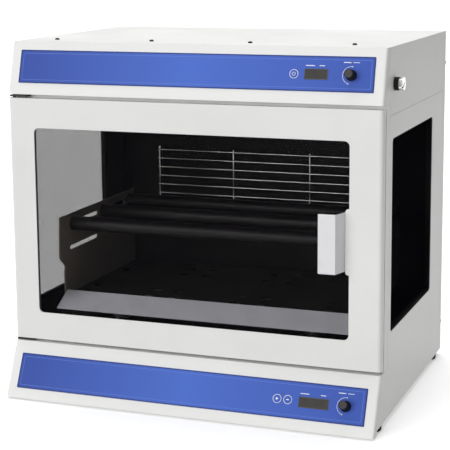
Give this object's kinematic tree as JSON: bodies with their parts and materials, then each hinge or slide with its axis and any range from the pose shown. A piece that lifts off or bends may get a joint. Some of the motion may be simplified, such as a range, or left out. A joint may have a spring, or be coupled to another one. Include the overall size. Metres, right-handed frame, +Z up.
{
  "type": "laboratory incubator",
  "caption": "Bench-top laboratory incubator with a glazed hinged door, side windows, two leaning control panels and an orbital shaking platform with clamp bars.",
  "frame": {"origin": "middle of the footprint on the plane that the feet stand on, midway between the side panels and midway between the door's front face and the rear panel", "axes": "+X to the user's right, +Y to the rear, +Z up; the door faces -Y"},
  "size_m": [0.778, 0.601, 0.7153],
  "materials": {
    "casing_paint": "semi-gloss powder coat, warm white",
    "handle_paint": "satin light grey",
    "overlay_blue": "satin printed polyester film, blue",
    "display_lens": "smooth grey-brown window",
    "door_glazing": "smoked transparent glazing",
    "side_glazing": "dark smoked glazing",
    "seal_rubber": "matt black",
    "foot_rubber": "matt black",
    "liner_paint": "dark satin interior",
    "frame_steel": "satin grey",
    "chassis_steel": "galvanised",
    "machined_steel": "turned steel",
    "cast_aluminium": "plain machined",
    "guard_wire": "bright wire",
    "platform_paint": "satin black",
    "bar_rubber": "smooth black sleeve",
    "button_film": "domed film key",
    "knob_plastic": "matt dark grey",
    "collar_plastic": "matt black",
    "dial_chrome": "bright plated",
    "inlet_plastic": "matt black",
    "rocker_plastic": "gloss dark red",
    "screw_black": "black oxide",
    "board_laminate": "green circuit laminate",
    "motor_paint": "dark satin",
    "bracket_paint": "dark grey satin",
    "lamp_lens": "unlit lamp"
  },
  "bodies": {
    "cabinet": {"base_pan": "casing_paint", "side_panel_left": "casing_paint", "side_panel_right": "casing_paint", "rear_panel": "casing_paint", "top_cover": "casing_paint", "upper_fascia": "casing_paint", "lower_fascia": "casing_paint", "front_frame": "casing_paint", "upper_overlay": "overlay_blue", "lower_overlay": "overlay_blue", "displays": "display_lens", "side_window_left": "side_glazing", "side_window_right": "side_glazing", "window_inner_panes": "side_glazing", "side_window_seals": "seal_rubber", "drive_belt": "seal_rubber", "feet": "foot_rubber", "rear_spacers": "foot_rubber", "chamber_liner": "liner_paint", "chamber_floor": "liner_paint", "air_duct": "liner_paint", "chassis_plate": "chassis_steel", "heater_element": "chassis_steel", "door_catch": "machined_steel", "bearing_housings": "cast_aluminium", "rear_wire_guard": "guard_wire", "cutout_thermostat": "collar_plastic", "power_inlet": "inlet_plastic", "cover_screws": "screw_black", "control_boards": "board_laminate", "drive_motor": "motor_paint", "fan_motor": "motor_paint", "hinge_brackets": "bracket_paint", "status_led": "lamp_lens"},
    "door": {"door_frame": "casing_paint", "door_inner_frame": "frame_steel", "door_glass": "door_glazing", "door_gasket": "seal_rubber", "door_handle": "handle_paint", "hinge_bushes": "machined_steel"},
    "drive_crank": {"drive_crank": "machined_steel"},
    "idler_left": {"idler_crank_left": "machined_steel"},
    "idler_right": {"idler_crank_right": "machined_steel"},
    "idler_rear": {"idler_crank_rear": "machined_steel"},
    "platform": {"carriage": "cast_aluminium", "platform_tray": "platform_paint", "side_plate_left": "platform_paint", "side_plate_right": "platform_paint"},
    "front_bar": {"front_clamp_bar": "bar_rubber"},
    "middle_bar": {"middle_clamp_bar": "bar_rubber"},
    "rear_bar": {"rear_clamp_bar": "bar_rubber"},
    "power_button": {"power_button": "button_film"},
    "start_button": {"start_button": "button_film"},
    "stop_button": {"stop_button": "button_film"},
    "temperature_knob": {"temperature_knob": "knob_plastic"},
    "speed_knob": {"speed_knob": "knob_plastic"},
    "cutout_dial": {"cutout_dial": "dial_chrome"},
    "rocker": {"rocker_switch": "rocker_plastic"},
    "fan": {"fan_rotor": "cast_aluminium"},
    "motor_pulley": {"motor_pulley": "cast_aluminium"}
  },
  "joints": [
    {"name": "door_hinge", "type": "hinge", "parent": "cabinet", "child": "door", "pos_m": [-0.371, -0.261, 0.35875], "axis": [0, 0, -1], "range_deg": [0, 115]},
    {"name": "crank_spin", "type": "hinge", "parent": "cabinet", "child": "drive_crank", "pos_m": [0, -0.008, 0.102], "axis": [0, 0, 1], "continuous": true},
    {"name": "idler_left_spin", "type": "hinge", "parent": "cabinet", "child": "idler_left", "pos_m": [-0.21, -0.128, 0.102], "axis": [0, 0, 1], "continuous": true},
    {"name": "idler_right_spin", "type": "hinge", "parent": "cabinet", "child": "idler_right", "pos_m": [0.21, -0.128, 0.102], "axis": [0, 0, 1], "continuous": true},
    {"name": "idler_rear_spin", "type": "hinge", "parent": "cabinet", "child": "idler_rear", "pos_m": [0, 0.13, 0.102], "axis": [0, 0, 1], "continuous": true},
    {"name": "platform_orbit", "type": "hinge", "parent": "drive_crank", "child": "platform", "pos_m": [0, -0.016, 0.15], "axis": [0, 0, 1], "continuous": true},
    {"name": "motor_spin", "type": "hinge", "parent": "cabinet", "child": "motor_pulley", "pos_m": [0.13, 0.135, 0.056], "axis": [0, 0, 1], "continuous": true},
    {"name": "fan_spin", "type": "hinge", "parent": "cabinet", "child": "fan", "pos_m": [0, 0.16, 0.612], "axis": [0, 0, 1], "continuous": true},
    {"name": "front_bar_slide", "type": "slide", "parent": "platform", "child": "front_bar", "axis": [0, 1, 0], "range_m": [-0.009, 0.111]},
    {"name": "middle_bar_slide", "type": "slide", "parent": "platform", "child": "middle_bar", "axis": [0, 1, 0], "range_m": [-0.001, 0.06]},
    {"name": "rear_bar_slide", "type": "slide", "parent": "platform", "child": "rear_bar", "axis": [0, 1, 0], "range_m": [-0.04, 0.014]},
    {"name": "power_button_press", "type": "slide", "parent": "cabinet", "child": "power_button", "axis": [0, 0.9619, -0.2735], "range_m": [0, 0.0008], "stiffness_N_per_m": 1500},
    {"name": "start_button_press", "type": "slide", "parent": "cabinet", "child": "start_button", "axis": [0, 0.9029, -0.4299], "range_m": [0, 0.0008], "stiffness_N_per_m": 1500},
    {"name": "stop_button_press", "type": "slide", "parent": "cabinet", "child": "stop_button", "axis": [0, 0.9029, -0.4299], "range_m": [0, 0.0008], "stiffness_N_per_m": 1500},
    {"name": "temperature_knob_turn", "type": "hinge", "parent": "cabinet", "child": "temperature_knob", "pos_m": [0.3152, -0.25523, 0.66194], "axis": [0, -0.9619, 0.2735], "continuous": true},
    {"name": "speed_knob_turn", "type": "hinge", "parent": "cabinet", "child": "speed_knob", "pos_m": [0.32, -0.29678, 0.05275], "axis": [0, -0.9029, 0.4299], "continuous": true},
    {"name": "cutout_dial_turn", "type": "hinge", "parent": "cabinet", "child": "cutout_dial", "pos_m": [0.39, -0.19, 0.643], "axis": [1, 0, 0], "range_deg": [0, 270]},
    {"name": "rocker_tilt", "type": "hinge", "parent": "cabinet", "child": "rocker", "pos_m": [-0.231, 0.265, 0.067], "axis": [-1, 0, 0], "range_deg": [0, 16]}
  ],
  "couplings": [
    {"joint": "idler_left_spin", "follows": "crank_spin", "ratio": 1},
    {"joint": "idler_right_spin", "follows": "crank_spin", "ratio": 1},
    {"joint": "idler_rear_spin", "follows": "crank_spin", "ratio": 1},
    {"joint": "platform_orbit", "follows": "crank_spin", "ratio": -1},
    {"joint": "motor_spin", "follows": "crank_spin", "ratio": 3}
  ]
}
